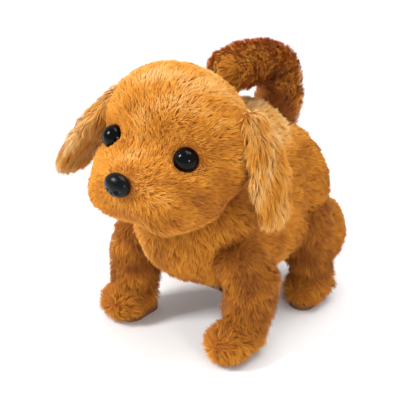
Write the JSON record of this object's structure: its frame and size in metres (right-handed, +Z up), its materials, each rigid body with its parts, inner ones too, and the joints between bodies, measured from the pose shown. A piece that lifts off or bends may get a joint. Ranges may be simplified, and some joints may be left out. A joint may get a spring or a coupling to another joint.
{
  "type": "interactive plush pet",
  "caption": "Battery plush puppy with a geared chassis inside, swinging legs, nodding head and wagging tail.",
  "frame": {"origin": "on the floor, in the middle of the puppy's length and width", "axes": "+Z up, the puppy faces -Y, its left side is +X"},
  "size_m": [0.1238, 0.148, 0.1465],
  "materials": {
    "plush": "golden brown short pile plush",
    "ear_plush": "golden brown streaky plush",
    "tail_plush": "darker golden brown long pile plush",
    "eye_gloss": "high gloss black",
    "nose_gloss": "satin black",
    "washer": "natural nylon",
    "casing": "moulded ivory ABS",
    "leg_plastic": "moulded ABS",
    "sole_rubber": "brown grip rubber",
    "gear_plastic": "acetal",
    "steel": "plated steel",
    "motor_can": "drawn steel can",
    "spring_steel": "nickel plated",
    "cell": "printed sleeve, no marks",
    "dark_plastic": "moulded black",
    "board": "solder mask"
  },
  "bodies": {
    "chassis": {"hip_retainer_front_left": "steel", "hip_retainer_front_right": "steel", "hip_retainer_hind_left": "steel", "hip_retainer_hind_right": "steel", "chassis_left": "casing", "battery_left": "cell", "battery_spring_left": "spring_steel", "chassis_right": "casing", "battery_right": "cell", "battery_spring_right": "spring_steel", "chassis_screw_1": "steel", "chassis_screw_2": "steel", "chassis_screw_3": "steel", "chassis_screw_4": "steel", "battery_tray": "casing", "battery_contact": "spring_steel", "switch_body": "dark_plastic", "speaker": "dark_plastic", "circuit_board": "board", "motor": "motor_can", "neck_bracket": "casing", "body_plush": "plush"},
    "leg_front_left": {"leg_frame_front_left": "leg_plastic", "foot_sole_front_left": "sole_rubber", "leg_plush_front_left": "plush"},
    "leg_front_right": {"leg_frame_front_right": "leg_plastic", "foot_sole_front_right": "sole_rubber", "leg_plush_front_right": "plush"},
    "leg_hind_left": {"leg_frame_hind_left": "leg_plastic", "foot_sole_hind_left": "sole_rubber", "leg_plush_hind_left": "plush"},
    "leg_hind_right": {"leg_frame_hind_right": "leg_plastic", "foot_sole_hind_right": "sole_rubber", "leg_plush_hind_right": "plush"},
    "link_left": {"leg_link_left": "gear_plastic"},
    "ear_left": {"ear_left": "ear_plush"},
    "link_right": {"leg_link_right": "gear_plastic"},
    "ear_right": {"ear_right": "ear_plush"},
    "head": {"head_core_front": "casing", "head_core_back": "casing", "neck_pin": "steel", "eye_left": "eye_gloss", "eye_right": "eye_gloss", "eye_washer_left": "washer", "eye_washer_right": "washer", "nose": "nose_gloss", "nose_washer": "washer", "head_plush": "plush"},
    "tail": {"tail_core": "leg_plastic", "tail_plush": "tail_plush"},
    "battery_door": {"battery_door": "casing", "battery_door_screw": "steel"},
    "switch_knob": {"switch_knob": "dark_plastic"},
    "pinion": {"motor_pinion": "steel"},
    "gear_first": {"gear_first": "gear_plastic"},
    "gear_second": {"gear_second": "gear_plastic"},
    "crank": {"crankshaft": "steel", "crank_gear": "gear_plastic"}
  },
  "joints": [
    {"name": "leg_front_left_swing", "type": "hinge", "parent": "chassis", "child": "leg_front_left", "pos_m": [0.0276, -0.02, 0.058], "axis": [1, 0, 0], "range_deg": [-12, 12]},
    {"name": "leg_front_right_swing", "type": "hinge", "parent": "chassis", "child": "leg_front_right", "pos_m": [-0.0276, -0.02, 0.058], "axis": [1, 0, 0], "range_deg": [-12, 12]},
    {"name": "leg_hind_left_swing", "type": "hinge", "parent": "chassis", "child": "leg_hind_left", "pos_m": [0.0276, 0.046, 0.058], "axis": [1, 0, 0], "range_deg": [-12, 12]},
    {"name": "leg_hind_right_swing", "type": "hinge", "parent": "chassis", "child": "leg_hind_right", "pos_m": [-0.0276, 0.046, 0.058], "axis": [1, 0, 0], "range_deg": [-12, 12]},
    {"name": "link_left_pivot", "type": "hinge", "parent": "leg_hind_left", "child": "link_left", "pos_m": [0.0249, 0.046, 0.046], "axis": [1, 0, 0], "range_deg": [-12, 12]},
    {"name": "link_right_pivot", "type": "hinge", "parent": "leg_hind_right", "child": "link_right", "pos_m": [-0.0249, 0.046, 0.046], "axis": [1, 0, 0], "range_deg": [-12, 12]},
    {"name": "head_nod", "type": "hinge", "parent": "chassis", "child": "head", "pos_m": [0, -0.026, 0.098], "axis": [1, 0, 0], "range_deg": [-8, 8]},
    {"name": "tail_wag", "type": "hinge", "parent": "chassis", "child": "tail", "pos_m": [0, 0.05, 0.086], "axis": [0, 0, 1], "range_deg": [-15, 15]},
    {"name": "ear_left_flop", "type": "hinge", "parent": "head", "child": "ear_left", "pos_m": [0.0386, -0.024, 0.13], "axis": [0, -1, 0], "range_deg": [0, 30]},
    {"name": "ear_right_flop", "type": "hinge", "parent": "head", "child": "ear_right", "pos_m": [-0.0386, -0.024, 0.13], "axis": [0, 1, 0], "range_deg": [0, 30]},
    {"name": "battery_door_open", "type": "hinge", "parent": "chassis", "child": "battery_door", "pos_m": [0, -0.0134, 0.02965], "axis": [-1, 0, 0], "range_deg": [0, 75]},
    {"name": "power_switch", "type": "slide", "parent": "chassis", "child": "switch_knob", "axis": [1, 0, 0], "range_m": [0, 0.0038]},
    {"name": "crank_spin", "type": "hinge", "parent": "chassis", "child": "crank", "pos_m": [0, 0.046, 0.07], "axis": [1, 0, 0], "continuous": true},
    {"name": "gear_second_spin", "type": "hinge", "parent": "chassis", "child": "gear_second", "pos_m": [0.013, 0.03544, 0.06398], "axis": [1, 0, 0], "continuous": true},
    {"name": "gear_first_spin", "type": "hinge", "parent": "chassis", "child": "gear_first", "pos_m": [0.015, 0.02542, 0.07084], "axis": [1, 0, 0], "continuous": true},
    {"name": "pinion_spin", "type": "hinge", "parent": "chassis", "child": "pinion", "pos_m": [0.015, 0.014, 0.075], "axis": [1, 0, 0], "continuous": true}
  ],
  "couplings": [
    {"joint": "leg_front_left_swing", "follows": "leg_hind_left_swing", "ratio": 1},
    {"joint": "leg_hind_right_swing", "follows": "leg_hind_left_swing", "ratio": -1},
    {"joint": "leg_front_right_swing", "follows": "leg_hind_left_swing", "ratio": -1},
    {"joint": "link_left_pivot", "follows": "leg_hind_left_swing", "ratio": -1},
    {"joint": "link_right_pivot", "follows": "leg_hind_left_swing", "ratio": 1},
    {"joint": "gear_second_spin", "follows": "crank_spin", "ratio": -3},
    {"joint": "gear_first_spin", "follows": "crank_spin", "ratio": 9},
    {"joint": "pinion_spin", "follows": "crank_spin", "ratio": -27}
  ]
}
